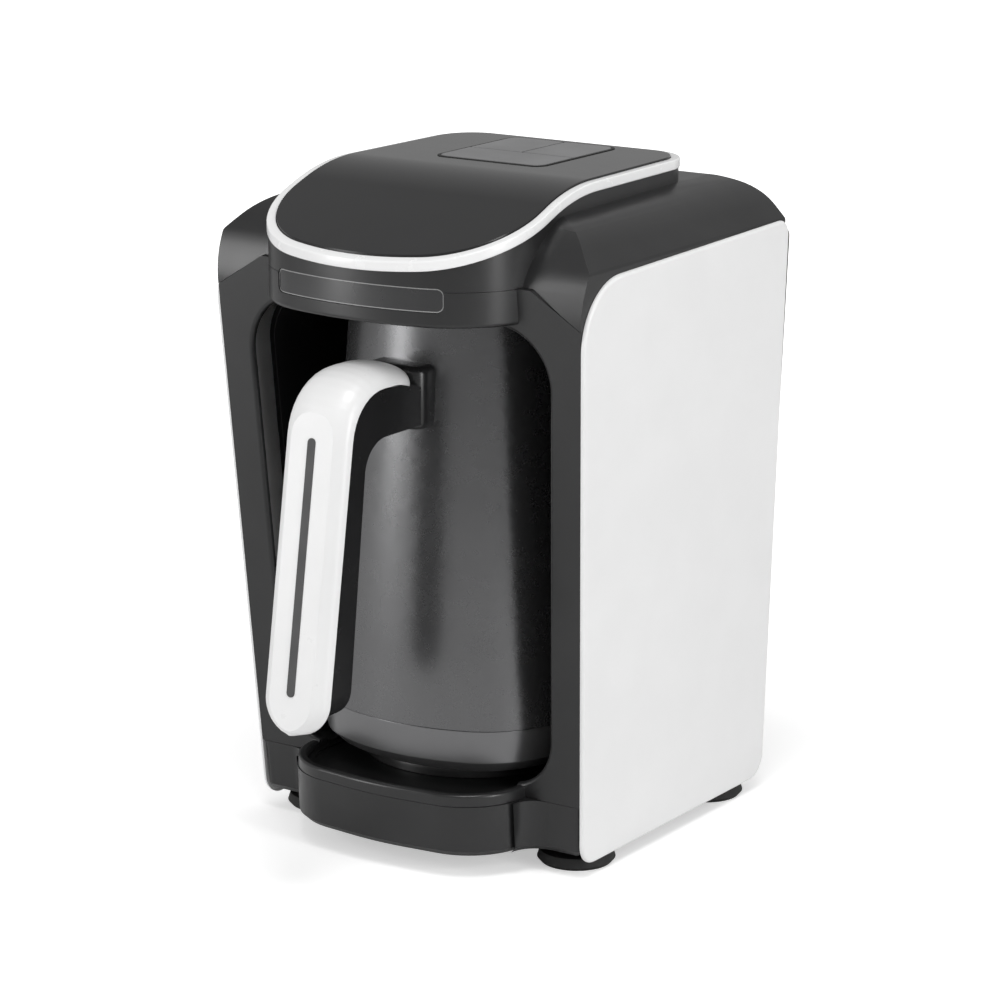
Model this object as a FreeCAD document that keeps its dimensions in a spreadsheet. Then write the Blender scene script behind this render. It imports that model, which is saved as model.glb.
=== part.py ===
import FreeCAD, Part
import math
import os

# Electric Turkish coffee maker: a tapering housing with an open pot bay, an overhanging
# head with push buttons, and a lift-out pot with a front handle. Millimetres, Z up,
# floor at Z = 0, the front looks to -Y, the middle plane is X = 0.

Vec = FreeCAD.Vector
doc = FreeCAD.newDocument("coffee_maker")
sheet = doc.addObject("Spreadsheet::Sheet", "sizes")

# Driving sizes: name, value, meaning.
SIZES = (
    ("half_width", 74.1, "side panel outer face from the middle plane at the panel bottom"),
    ("side_lean", 2.394, "degrees the side faces lean outward"),
    ("front_lean", 3.976, "degrees the front face leans forward"),
    ("panel_bottom", 5.0, "side panel bottom above the floor"),
    ("panel_height", 222.5, "side panel height along its front edge"),
    ("panel_depth", 131.7, "side panel depth at its bottom"),
    ("panel_wall", 1.6, "side panel thickness"),
    ("panel_shoulder", 24.0, "radius of the panel's upper front corner"),
    ("panel_corner", 9.0, "radius of the panel's lower corners"),
    ("wall", 2.2, "moulded wall thickness"),
    ("fit", 0.15, "gap between mating mouldings"),
    ("frame_depth", 14.0, "front frame depth"),
    ("frame_post", 15.0, "width of the frame post beside the bay opening"),
    ("frame_bottom", 28.6, "parting line between base and frame"),
    ("frame_side_top", 210.2, "parting line height at the panels"),
    ("frame_mid_top", 223.2, "parting line height at the head"),
    ("bay_top", 208.6, "top of the bay opening"),
    ("bay_radius", 22.0, "corner radius of the bay opening"),
    ("bay_depth", 101.0, "bay depth from the front face"),
    ("lip_half_width", 49.5, "half width of the base lip"),
    ("lip_reach", 28.5, "lip front ahead of the frame foot"),
    ("lip_radius", 27.0, "corner radius of the lip"),
    ("rim_height", 4.4, "height of the rim band on the lip"),
    ("rim_wall", 3.6, "width of the rim band"),
    ("base_bottom", 8.6, "underside of the base housing"),
    ("tray_height", 2.0, "tray floor thickness"),
    ("pedestal_radius", 43.0, "power pedestal radius"),
    ("pedestal_height", 5.6, "power pedestal height above the tray"),
    ("pot_centre", 38.0, "pot axis behind the frame foot"),
    ("pot_gap", 0.25, "pot underside above the pedestal"),
    ("pot_radius", 55.5, "pot half width at the band"),
    ("pot_top_radius", 44.1, "pot half width at the rim"),
    ("pot_foot_radius", 53.0, "pot half width at the foot"),
    ("pot_band", 17.4, "height of the pot's plastic band"),
    ("pot_rim", 206.5, "pot rim above the floor"),
    ("pot_wall", 1.2, "pot sheet thickness"),
    ("tower_radius", 15.0, "contact tower radius"),
    ("tower_height", 3.2, "contact tower height"),
    ("head_half_width", 58.0, "half width of the head"),
    ("head_rear_half", 54.0, "half width of the head at its back"),
    ("head_reach", 44.0, "head front ahead of the frame foot"),
    ("head_radius", 38.0, "front corner radius of the head"),
    ("head_back", 107.0, "head back edge behind the frame foot"),
    ("head_bottom", 210.0, "underside of the head skirt"),
    ("deck_back", 251.4, "head deck height at the back"),
    ("deck_slope", 20.3, "degrees the front of the head slopes down"),
    ("trim_height", 3.9, "trim ring height"),
    ("trim_wall", 3.0, "trim ring width"),
    ("lid_height", 4.5, "lid top above the deck"),
    ("neck_height", 246.4, "top of the shoulder beside the neck"),
    ("shoulder_edge", 230.4, "height of the shoulder at the panel"),
    ("shoulder_round", 33.0, "front rounding of the shoulders"),
    ("button_width", 47.4, "button group width"),
    ("button_length", 53.5, "button group length front to back"),
    ("button_front", 46.0, "button group front edge behind the frame foot"),
    ("button_split", 23.0, "length of the long front button"),
    ("button_gap", 0.8, "gap round each button"),
    ("button_travel", 0.8, "push button travel"),
    ("plate_half_width", 36.5, "half width of the blank name plate"),
    ("plate_height", 8.6, "height of the blank name plate"),
    ("plate_bottom", 215.8, "bottom of the blank name plate"),
    ("foot_radius", 14.8, "rubber foot radius"),
    ("foot_x", 58.7, "foot centre from the middle plane"),
    ("foot_front", 19.2, "front foot centre behind the frame foot"),
    ("foot_rear", 113.0, "rear foot centre behind the frame foot"),
    ("foot_height", 4.7, "rubber foot height"),
    ("grip_half_width", 14.0, "half width of the handle"),
    ("grip_reach", 82.0, "handle foot ahead of the frame foot"),
    ("grip_top", 193.4, "top of the handle"),
    ("grip_bottom", 66.0, "bottom of the handle"),
    ("cover_wall", 6.6, "depth of the white handle cover"),
    ("core_wall", 14.5, "depth of the dark handle core"),
    ("inlay_width", 3.4, "width of the slot inlay"),
    ("screw_radius", 1.7, "screw shank radius"),
)
for row, (name, value, meaning) in enumerate(SIZES, start=1):
    sheet.set("A%d" % row, name)
    sheet.set("B%d" % row, str(value))
    sheet.set("C%d" % row, meaning)
    sheet.setAlias("B%d" % row, name)
doc.recompute()


def mm(name):
    return float(sheet.get(name))


# The frame foot is the front face at the panel bottom; Y = 0 is the middle of the whole depth.
REAR_REACH = mm("panel_depth") + 2.3
FOOT_Y = (mm("grip_reach") - REAR_REACH) / 2
SIDE = math.tan(math.radians(mm("side_lean")))
FRONT = math.tan(math.radians(mm("front_lean")))


def half_at(height):
    return mm("half_width") + SIDE * (height - mm("panel_bottom"))


def front_at(height):
    return FOOT_Y - FRONT * (height - mm("panel_bottom"))


# Outlines: corners (x, y, radius) become lines joined by arcs.
def rounded(corners):
    count = len(corners)
    points = [Vec(c[0], c[1], 0) for c in corners]
    starts, ends, arcs = [], [], []
    for i in range(count):
        before = (points[i - 1] - points[i]).normalize()
        after = (points[(i + 1) % count] - points[i]).normalize()
        radius = corners[i][2] if len(corners[i]) > 2 else 0
        turn = math.pi - before.getAngle(after)
        if radius <= 0 or turn < 1e-4:
            starts.append(points[i])
            ends.append(points[i])
            arcs.append(None)
            continue
        cut = radius * math.tan(turn / 2)
        start = points[i] + before * cut
        end = points[i] + after * cut
        bisector = (before + after).normalize()
        centre = points[i] + bisector * (radius / math.cos(turn / 2))
        middle = centre - bisector * radius
        starts.append(start)
        ends.append(end)
        arcs.append(Part.Arc(start, middle, end))
    edges = []
    for i in range(count):
        if arcs[i]:
            edges.append(arcs[i])
        following = starts[(i + 1) % count]
        if (following - ends[i]).Length > 1e-6:
            edges.append(Part.LineSegment(ends[i], following))
    return edges


def inset(corners, distance):
    """Moves a counter-clockwise outline inward by a distance and keeps its arcs concentric."""
    count = len(corners)
    moved = []
    for i in range(count):
        here = Vec(corners[i][0], corners[i][1], 0)
        back = Vec(corners[i - 1][0], corners[i - 1][1], 0)
        ahead = Vec(corners[(i + 1) % count][0], corners[(i + 1) % count][1], 0)
        first = (here - back).normalize()
        second = (ahead - here).normalize()
        turn = first.x * second.y - first.y * second.x
        normal_a = Vec(-first.y, first.x, 0)
        normal_b = Vec(-second.y, second.x, 0)
        middle = (normal_a + normal_b).normalize()
        shift = distance / middle.dot(normal_a)
        radius = corners[i][2] if len(corners[i]) > 2 else 0
        if radius > 0:
            radius = max(radius - distance * (1 if turn > 0 else -1), 0.4)
        spot = here + middle * shift
        moved.append((spot.x, spot.y, radius))
    return moved


def mirrored(corners):
    """Completes an outline given on its +X side, front to back, with its mirror image."""
    return list(corners) + [(-c[0],) + tuple(c[1:]) for c in reversed(corners)]


def ring(radius, x=0, y=0):
    return [Part.Circle(Vec(x, y, 0), Vec(0, 0, 1), radius)]


def box_outline(x0, y0, x1, y1, radius=0):
    return rounded([(x0, y0, radius), (x1, y0, radius), (x1, y1, radius), (x0, y1, radius)])


# Feature helpers.
def new_body(label, base=(0, 0, 0), axis=(0, 0, 1), angle=0):
    body = doc.addObject("PartDesign::Body", label)
    body.Label = label
    body.Placement = FreeCAD.Placement(Vec(*base), FreeCAD.Rotation(Vec(*axis), angle))
    return body


def sketch(body, plane, wires, offset=0):
    item = body.newObject("Sketcher::SketchObject", body.Name + "_sketch")
    origin = [f for f in body.Origin.OriginFeatures if f.Role == plane][0]
    item.AttachmentSupport = (origin, "")
    item.MapMode = "FlatFace"
    item.AttachmentOffset = FreeCAD.Placement(Vec(0, 0, offset), FreeCAD.Rotation())
    for wire in wires:
        for edge in wire:
            item.addGeometry(edge, False)
    return item


def pad(body, plane, wires, length, offset=0, back=False, both=False):
    outline = sketch(body, plane, wires, offset)
    feature = body.newObject("PartDesign::Pad", body.Name + "_pad")
    feature.Profile = outline
    if isinstance(length, str):
        feature.setExpression("Length", length)
    else:
        feature.Length = length
    feature.Reversed = back
    feature.Midplane = both
    doc.recompute()
    return feature


def pocket(body, plane, wires, length=None, offset=0, back=False, both=False):
    before = body.Shape.Volume
    outline = sketch(body, plane, wires, offset)
    feature = body.newObject("PartDesign::Pocket", body.Name + "_pocket")
    feature.Profile = outline
    if length is None:
        feature.Type = "ThroughAll"
        feature.Midplane = True
    elif isinstance(length, str):
        feature.setExpression("Length", length)
        feature.Reversed = back
    else:
        feature.Length = length
        feature.Reversed = back
        feature.Midplane = both
    doc.recompute()
    if abs(body.Shape.Volume - before) < 0.01:
        raise RuntimeError("a pocket in %s removes nothing" % body.Label)
    return feature


def loft(body, sections, cut=False):
    """Sections are (height, wire) pairs across the body's Z axis."""
    outlines = [sketch(body, "XY_Plane", [wire], height) for height, wire in sections]
    kind = "PartDesign::SubtractiveLoft" if cut else "PartDesign::AdditiveLoft"
    feature = body.newObject(kind, body.Name + "_loft")
    feature.Profile = outlines[0]
    feature.Sections = outlines[1:]
    feature.Ruled = True
    doc.recompute()
    return feature


def edges_where(body, test):
    names = []
    for number, edge in enumerate(body.Tip.Shape.Edges, start=1):
        ends = [edge.valueAt(p) for p in edge.ParameterRange]
        middle = edge.valueAt(sum(edge.ParameterRange) / 2)
        if test(ends + [middle]):
            names.append("Edge%d" % number)
    return names


def soften(body, test, radius, kind="Fillet"):
    base_feature = body.Tip
    names = edges_where(body, test)
    if not names:
        raise RuntimeError("no edge of %s meets the test" % body.Label)
    feature = body.newObject("PartDesign::" + kind, body.Name + "_" + kind.lower())
    feature.Base = (base_feature, names)
    if kind == "Fillet":
        feature.Radius = radius
    else:
        feature.Size = radius
    doc.recompute()
    if "Invalid" in feature.State or feature.Shape.isNull():
        raise RuntimeError("the %s of %s fails" % (kind.lower(), body.Label))
    return feature


def revolve(body, wires, groove=False):
    """Turns a half section in the body's XZ plane round its Z axis."""
    outline = sketch(body, "XZ_Plane", wires)
    kind = "PartDesign::Groove" if groove else "PartDesign::Revolution"
    feature = body.newObject(kind, body.Name + "_turned")
    feature.Profile = outline
    feature.ReferenceAxis = (outline, ["V_Axis"])
    feature.Angle = 360
    doc.recompute()
    return feature


def tool(shape, name, base=(0, 0, 0)):
    item = doc.addObject("Part::Feature", name)
    item.Shape = shape
    item.Placement = FreeCAD.Placement(Vec(*base), FreeCAD.Rotation())
    return item


def combine(kind, label, parts):
    item = doc.addObject(kind, label)
    if kind == "Part::Cut":
        item.Base, item.Tool = parts
    else:
        item.Shapes = parts
    item.Label = label
    doc.recompute()
    return item


NODES = []


def keep(item):
    NODES.append(item)
    return item


# Side panels.
def panel_corners():
    tall = mm("panel_height")
    deep = mm("panel_depth")
    rear_top = deep - 0.0135 * tall
    front_top = -FRONT * tall
    rise = 0.0206 * (rear_top - front_top)
    return [(0, 0, mm("panel_corner")), (deep, 0, mm("panel_corner")),
            (rear_top, tall + rise, 6), (front_top, tall, mm("panel_shoulder"))]


def side_panel(label, hand):
    base = (hand * mm("half_width"), FOOT_Y, mm("panel_bottom"))
    body = new_body(label, base, (0, 1, 0), hand * mm("side_lean"))
    outer = panel_corners()
    pad(body, "YZ_Plane", [rounded(outer)], "sizes.panel_wall", 0, hand > 0)
    soften(body, lambda pts: all(abs(p.x) < 0.01 for p in pts), 1.3)
    wall = mm("panel_wall")
    ribs = []
    for y in (30, 60, 90, 118):
        ribs.append(box_outline(y, 34, y + 1.6, 196, 0.5))
    pad(body, "YZ_Plane", ribs, wall + 4.0, 0, hand > 0)
    pads = [ring(4.0, y, z) for y in (45, 104) for z in (40, 190)]
    pad(body, "YZ_Plane", pads, wall + 5.0, 0, hand > 0)
    bores = [ring(mm("screw_radius"), y, z) for y in (45, 104) for z in (40, 190)]
    pocket(body, "YZ_Plane", bores, 4.5, -hand * (wall + 5.0), hand > 0)
    keep(body)


side_panel("side_panel_right", 1)
side_panel("side_panel_left", -1)

# Front frame: the arch round the bay and the rim band of the lip.
INNER = mm("panel_wall") + mm("fit")
LEAN = math.cos(math.radians(mm("front_lean")))


def frame_height(height):
    return (height - mm("panel_bottom")) / LEAN


def bay_corners():
    top, bottom = mm("bay_top"), mm("frame_bottom") + mm("rim_height") - 0.2
    low = half_at(bottom) - mm("frame_post")
    high = half_at(top) - mm("frame_post")
    return mirrored([(low, frame_height(bottom), 20), (high, frame_height(top), mm("bay_radius"))])


def frame_corners():
    low, mid, high = mm("frame_bottom"), mm("frame_side_top"), mm("frame_mid_top")
    side = [(half_at(low) - INNER, frame_height(low), 0.6),
            (half_at(mid) - INNER, frame_height(mid), 0.6),
            (60.0, frame_height(high), 3)]
    return mirrored(side)


def lip_corners(grow=0):
    wide = mm("lip_half_width")
    reach = -mm("lip_reach")
    side = [(0, reach - 2.2, 120), (wide, reach + 3.0, mm("lip_radius"))]
    left = [(-c[0],) + tuple(c[1:]) for c in side[:0:-1]]
    outline = left + side + [(wide, 8), (-wide, 8)]
    return inset(outline, -grow)


frame_base = (0, FOOT_Y, mm("panel_bottom"))
arch = new_body("frame_arch", frame_base, (1, 0, 0), mm("front_lean"))
pad(arch, "XZ_Plane", [rounded(frame_corners())], "sizes.frame_depth", 0, True)
pocket(arch, "XZ_Plane", [rounded(bay_corners())])
hollow = inset(frame_corners(), mm("wall"))
pocket(arch, "XZ_Plane", [rounded(hollow), rounded(inset(bay_corners(), -mm("wall")))],
       mm("frame_depth") - mm("wall"), -mm("frame_depth"), True)
soften(arch, lambda pts: all(abs(p.y) < 0.01 for p in pts)
       and all(abs(p.x) < half_at(p.z) - 8 and p.z < 205 for p in pts), 1.6)

rim = new_body("lip_rim", (0, FOOT_Y, mm("frame_bottom")))
pad(rim, "XY_Plane", [rounded(lip_corners())], "sizes.rim_height")
pocket(rim, "XY_Plane", [rounded(inset(lip_corners(), mm("rim_wall")))])
pocket(rim, "XY_Plane", [box_outline(-70, 4.0, 70, 20)])
soften(rim, lambda pts: all(abs(p.z - mm("rim_height")) < 0.01 and p.y < 3.9 for p in pts), 1.1)
tray_half = mm("lip_half_width") - mm("rim_wall")
opening_tool = tool(Part.makeBox(2 * tray_half, 20, 12, Vec(-tray_half, 0, 0)), "tray_way",
                    (0, FOOT_Y - 2, mm("frame_bottom") - 1))
frame_whole = combine("Part::MultiFuse", "frame_whole", [arch, rim])
keep(combine("Part::Cut", "front_frame", [frame_whole, opening_tool]))


# Base housing with the lip bulge.
def base_corners(height, front_shift=0.0):
    wide = half_at(height) - INNER
    lip = mm("lip_half_width") + 0.6
    reach = -mm("lip_reach") + front_shift
    front = front_at(height) - FOOT_Y
    side = [(lip, reach + 3.0, mm("lip_radius")), (lip, front, 9.0), (wide, front, 3.0),
            (wide, mm("panel_depth") - 2.0, 6.0)]
    left = [(-c[0],) + tuple(c[1:]) for c in reversed(side)]
    return left + [(0, reach - 2.2, 120)] + side


HARNESS_Y = mm("panel_depth") - 17.7
base = new_body("base_housing", (0, FOOT_Y, 0))
low, top = mm("base_bottom"), mm("frame_bottom") - mm("fit")
edge = 2.2
loft(base, [(low, rounded(inset(base_corners(low, 1.4), edge))),
            (low + edge, rounded(base_corners(low + edge, 1.2)))])
loft(base, [(low + edge, rounded(base_corners(low + edge, 1.2))), (top, rounded(base_corners(top)))])
loft(base, [(low - 1, rounded(inset(base_corners(low, 1.4), edge + mm("wall")))),
            (top - mm("wall"), rounded(inset(base_corners(top), mm("wall"))))], True)
screw_x = mm("lip_half_width") - 7.5
plate_screws = [(x, y) for x in (-screw_x, screw_x) for y in (-4, mm("panel_depth") - 9.7)]
pad(base, "XY_Plane", [ring(4.2, *spot) for spot in plate_screws], top - 12.0, 12.0)
pocket(base, "XY_Plane", [ring(mm("screw_radius"), *spot) for spot in plate_screws], 9.0, 12.0, True)
pocket(base, "XY_Plane", [ring(9.0, 0, mm("pot_centre") + 8), ring(3.6, 0, HARNESS_Y)], 10.0, top - 5, True)
keep(base)

# Tray floor inside the lip and the bay.
tray = new_body("tray_floor", (0, FOOT_Y, mm("frame_bottom")))
bay_wide = half_at(mm("frame_bottom")) - mm("frame_post") - 0.4
tray_side = [(mm("lip_half_width") - mm("rim_wall") - 0.25, -mm("lip_reach") + 3.0 + mm("rim_wall") + 0.4,
              mm("lip_radius") - mm("rim_wall")),
             (mm("lip_half_width") - mm("rim_wall") - 0.25, 15.0, 1.0),
             (bay_wide, 15.0, 1.0), (bay_wide, 97.0, 16.0)]
tray_left = [(-c[0],) + tuple(c[1:]) for c in reversed(tray_side)]
tray_outline = tray_left + [(0, -mm("lip_reach") + mm("rim_wall") - 1.7, 120)] + tray_side
pad(tray, "XY_Plane", [rounded(tray_outline)], "sizes.tray_height")
pocket(tray, "XY_Plane", [rounded(inset(tray_outline, 2.4))], 0.7, mm("tray_height"))
pocket(tray, "XY_Plane", [ring(9.0, 0, mm("pot_centre") + 8)])
keep(tray)
TRAY_TOP = mm("frame_bottom") + mm("tray_height") - 0.7

# Bay liner: back, sides and ceiling, cut level with the tray.
liner = new_body("bay_liner_shell", frame_base, (1, 0, 0), mm("front_lean"))
bay_open = [(c[0], c[1] if c[1] > 60 else 4.0, c[2] if c[1] > 60 else 0) for c in bay_corners()]
pad(liner, "XZ_Plane", [rounded(inset(bay_open, -mm("wall")))], mm("bay_depth") - mm("frame_depth"),
    -mm("frame_depth"), True)
pocket(liner, "XZ_Plane", [rounded(bay_open)], mm("bay_depth") - mm("frame_depth") - mm("wall"),
       -mm("frame_depth"))
deep = mm("bay_depth") - mm("wall")
soften(liner, lambda pts: all(abs(p.y - deep) < 0.01 for p in pts) and all(p.z > 5 for p in pts)
       or (all(abs(p.y - deep) < 0.01 for p in pts) and max(p.z for p in pts) > 50), 14.0)
pocket(liner, "XY_Plane", [ring(9.5, 0, mm("pot_centre") + frame_height(mm("bay_top")) * FRONT)],
       20.0, frame_height(mm("bay_top")) - 6, True)
floor_cut = tool(Part.makeBox(200, 200, 60, Vec(-100, 0, -60)), "floor_cut",
                 (0, FOOT_Y - 20, mm("frame_bottom") + mm("tray_height") + 0.2))
keep(combine("Part::Cut", "bay_liner", [liner, floor_cut]))

# Power pedestal and contact tower under the pot.
PEDESTAL_TOP = TRAY_TOP + mm("pedestal_height")
pot_at = (0, FOOT_Y + mm("pot_centre"), 0)
pedestal = new_body("power_pedestal", pot_at)
pr, tr = mm("pedestal_radius"), mm("tower_radius")
revolve(pedestal, [rounded([(tr + 0.3, TRAY_TOP), (pr, TRAY_TOP), (pr - 0.6, PEDESTAL_TOP - 1.2),
                            (pr - 1.8, PEDESTAL_TOP), (tr + 0.3, PEDESTAL_TOP)])])
keep(pedestal)
tower = new_body("contact_tower", pot_at)
th = mm("tower_height")
revolve(tower, [rounded([(0, TRAY_TOP + 0.4), (tr, TRAY_TOP + 0.4), (tr, PEDESTAL_TOP + th - 1.0), (tr - 1.0, PEDESTAL_TOP + th),
                         (8.0, PEDESTAL_TOP + th), (8.0, PEDESTAL_TOP + th - 1.0),
                         (6.0, PEDESTAL_TOP + th - 1.0), (6.0, PEDESTAL_TOP + th),
                         (0, PEDESTAL_TOP + th)])])
keep(tower)

# Pot: every level is a squarish oval.
POT_BOTTOM = PEDESTAL_TOP + mm("pot_gap")
BAND_TOP = POT_BOTTOM + mm("pot_band")


def pot_section(radius):
    """A squarish oval: four flat side arcs and four corner arcs that run into one another."""
    shift, corner = 0.4386 * radius, 0.3 * radius
    side_arc = radius + shift
    corner_arc = side_arc - math.hypot(shift + corner, corner)
    swing = math.atan2(corner, shift + corner)
    edges = []
    for quarter in range(4):
        turn = quarter * math.pi / 2
        spin = FreeCAD.Rotation(Vec(0, 0, 1), math.degrees(turn))
        side_mid = spin.multVec(Vec(-shift, 0, 0))
        corner_mid = spin.multVec(Vec(corner, corner, 0))
        for centre, reach, first, last in ((side_mid, side_arc, -swing, swing),
                                           (corner_mid, corner_arc, swing, math.pi / 2 - swing)):
            spots = [centre + Vec(math.cos(turn + t), math.sin(turn + t), 0) * reach
                     for t in (first, (first + last) / 2, last)]
            edges.append(Part.Arc(*spots))
    return edges


def pot_radius_at(height):
    share = (height - BAND_TOP) / (mm("pot_rim") - BAND_TOP)
    return mm("pot_radius") + (mm("pot_top_radius") - mm("pot_radius")) * share


pot = new_body("pot_body", pot_at)
sheet_wall = mm("pot_wall")
loft(pot, [(BAND_TOP + 0.2, pot_section(pot_radius_at(BAND_TOP))),
           (mm("pot_rim"), pot_section(mm("pot_top_radius")))])
loft(pot, [(BAND_TOP + 2.2, pot_section(pot_radius_at(BAND_TOP) - sheet_wall)),
           (mm("pot_rim") + 1, pot_section(mm("pot_top_radius") - sheet_wall))], True)
pad(pot, "XY_Plane", [pot_section(mm("pot_top_radius") + 1.5),
                      pot_section(mm("pot_top_radius") - sheet_wall)], 1.6, mm("pot_rim") - 1.6)
keep(pot)

band = new_body("pot_band", pot_at)
loft(band, [(POT_BOTTOM, pot_section(mm("pot_foot_radius") - 4)),
            (POT_BOTTOM + 4.5, pot_section(mm("pot_foot_radius") + 0.6))])
loft(band, [(POT_BOTTOM + 4.5, pot_section(mm("pot_foot_radius") + 0.6)),
            (BAND_TOP, pot_section(mm("pot_radius") - 0.3))])
loft(band, [(POT_BOTTOM + 3.0, pot_section(mm("pot_foot_radius") - 6)),
            (BAND_TOP + 0.1, pot_section(mm("pot_radius") - 3.0))], True)
slot_half = tr + 1.2
way = rounded([(slot_half, 70), (-slot_half, 70), (-slot_half, -slot_half, slot_half - 0.1),
               (slot_half, -slot_half, slot_half - 0.1)][::-1])
pocket(band, "XY_Plane", [way], 12.0, POT_BOTTOM - 1, True)
keep(band)

socket = new_body("pot_socket", pot_at)
socket_low = POT_BOTTOM + 3.2
cover_out = rounded([(24, -24, 8), (24, 40, 4), (-24, 40, 4), (-24, -24, 8)])
pad(socket, "XY_Plane", [cover_out], 8.0, socket_low)
pocket(socket, "XY_Plane", [way], th - 1.6, socket_low, True)
pocket(socket, "XY_Plane", [rounded([(21, -21, 6), (21, 37, 3), (-21, 37, 3), (-21, -21, 6)])],
       4.0, socket_low + 4.01, True)
keep(socket)

heater = new_body("heater_plate", pot_at)
pad(heater, "XY_Plane", [ring(40.0)], 1.6, BAND_TOP + 0.2 - 1.6)
pad(heater, "XY_Plane", [ring(33.0), ring(27.5)], 4.0, BAND_TOP + 0.2 - 5.6)
pad(heater, "XY_Plane", [ring(2.0, x, 22) for x in (-8, 8)], BAND_TOP - 1.0 - (socket_low + 4.1),
    socket_low + 4.1)
keep(heater)


# Handle: profiles in the middle plane, Y forward and Z up, from the pot round to the foot.
def handle_front():
    reach = -mm("grip_reach")
    top, foot = mm("grip_top"), mm("grip_bottom")
    return [(reach, foot, 0), (reach + 20.6, top, 24.0), (-29.0, top - 0.6, 30.0), (-10.9, top - 7.8, 0)]


def handle_seam():
    wall = mm("cover_wall")
    reach = -mm("grip_reach") + wall
    top, foot = mm("grip_top") - wall, mm("grip_bottom")
    return [(-11.2, top - 4.4, 0.8), (-30.0, top + 0.6, 24.0), (reach + 19.4, top, 17.0),
            (reach + 0.6, foot + 2.0, 1.0)]


POT_SLOPE = (mm("pot_radius") - mm("pot_top_radius")) / (mm("pot_rim") - BAND_TOP)


def pot_front(height):
    return mm("pot_centre") - pot_radius_at(height)


grip_wide = mm("grip_half_width")


def foot_end(half):
    """Front view of the grip with its round lower end."""
    low = mm("grip_bottom") + mm("grip_half_width") - half
    return rounded([(-half, low, half - 1.5), (half, low, half - 1.5), (half, 230), (-half, 230)])


cover = new_body("handle_cover", (0, FOOT_Y, 0))
cover_outline = handle_front() + handle_seam()
pad(cover, "YZ_Plane", [rounded(cover_outline)], 2 * grip_wide, 0, False, True)
front_curves = [curve.toShape() for curve in rounded(cover_outline)[0:5]]


def on_front(pts):
    if not all(abs(abs(p.x) - grip_wide) < 0.01 for p in pts):
        return False
    spots = [Part.Vertex(p.y, p.z, 0) for p in pts]
    return any(all(curve.distToShape(spot)[0] < 0.02 for spot in spots) for curve in front_curves)


soften(cover, on_front, 4.2)
pocket(cover, "XZ_Plane", [box_outline(-40, 0, 40, 260), foot_end(grip_wide)])
keep(cover)

core = new_body("handle_core", (0, FOOT_Y, 0))
seam = handle_seam()
gap = mm("fit")
core_reach = -mm("grip_reach") + mm("cover_wall") + mm("core_wall")
arm_low = 168.0
core_outline = [(seam[3][0] + gap, seam[3][1] - 1.5, 5.0), (core_reach + 0.5, mm("grip_bottom") - 1.0, 7.0),
                (core_reach + 13.2, arm_low, 13.0), (pot_front(arm_low) - 2.4, arm_low, 2.0),
                (pot_front(178) - 2.4, seam[0][1] - gap - 1.0, 1.0),
                (seam[1][0], seam[1][1] - gap, 24.0), (seam[2][0] + gap, seam[2][1] - gap, 17.0)]
pad(core, "YZ_Plane", [rounded(core_outline)], 2 * (grip_wide - 2.0), 0, False, True)
pocket(core, "XZ_Plane", [box_outline(-40, 0, 40, 260), foot_end(grip_wide - 2.0)])
keep(core)

inlay_low, inlay_high = 79.0, 171.5
lean = math.degrees(math.atan2(20.6, mm("grip_top") - mm("grip_bottom")))
inlay = new_body("handle_inlay", (0, FOOT_Y - mm("grip_reach"), mm("grip_bottom")), (1, 0, 0), -lean)
iw = mm("inlay_width") / 2
stretch = 1 / math.cos(math.radians(lean))
low_z, high_z = (inlay_low - mm("grip_bottom")) * stretch, (inlay_high - mm("grip_bottom")) * stretch
pad(inlay, "XZ_Plane", [box_outline(-iw, low_z, iw, high_z, iw - 0.01)], 1.6, -0.35, True)
keep(inlay)
groove_body = new_body("inlay_groove", (0, FOOT_Y - mm("grip_reach"), mm("grip_bottom")), (1, 0, 0), -lean)
pad(groove_body, "XZ_Plane", [box_outline(-iw - 0.1, low_z - 0.1, iw + 0.1, high_z + 0.1, iw + 0.08)],
    3.0, 1.05, True)
NODES.remove(cover)
cover.Label = "handle_cover_blank"
whole_cover = combine("Part::Cut", "handle_cover_shell", [cover, groove_body])
whole_cover.Label = "handle_cover"
keep(whole_cover)

bracket = new_body("handle_bracket", pot_at)
loft(bracket, [(166.5, pot_section(pot_radius_at(166.5) + 2.2)),
               (185.0, pot_section(pot_radius_at(185.0) + 2.2))])
loft(bracket, [(160.0, pot_section(pot_radius_at(160.0) + 0.05)),
               (190.0, pot_section(pot_radius_at(190.0) + 0.05))], True)
pocket(bracket, "XY_Plane", [box_outline(-80, -40, 80, 80)], 80, 150, True)
pocket(bracket, "XY_Plane", [box_outline(-80, -80, -10, 80)], 80, 150, True)
pocket(bracket, "XY_Plane", [box_outline(10, -80, 80, 80)], 80, 150, True)
keep(bracket)


# Head outline seen from above.
def head_corners(grow=0):
    wide, rear = mm("head_half_width"), mm("head_rear_half")
    reach = -mm("head_reach")
    side = [(wide, reach + 12.0, mm("head_radius")), (rear, mm("head_back"), 18.0)]
    left = [(-c[0],) + tuple(c[1:]) for c in reversed(side)]
    return inset(left + [(0, reach, 120)] + side, -grow)


def outside(corners):
    return [box_outline(-150, -150, 150, 250), rounded(corners)]


def deck_line(lift):
    """Side view of the head deck, back to front, raised by a distance."""
    z = mm("deck_back") + lift
    slope = math.tan(math.radians(mm("deck_slope")))
    return [(130.0, z, 0), (19.0, z, 86.0), (-60.0, z - slope * 79.0, 0)]


def slab(label, low_lift, high_lift):
    body = new_body(label, (0, FOOT_Y, 0))
    outline = deck_line(low_lift)[::-1] + deck_line(high_lift)
    pad(body, "YZ_Plane", [rounded(outline)], 200, 0, False, True)
    return body


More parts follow.
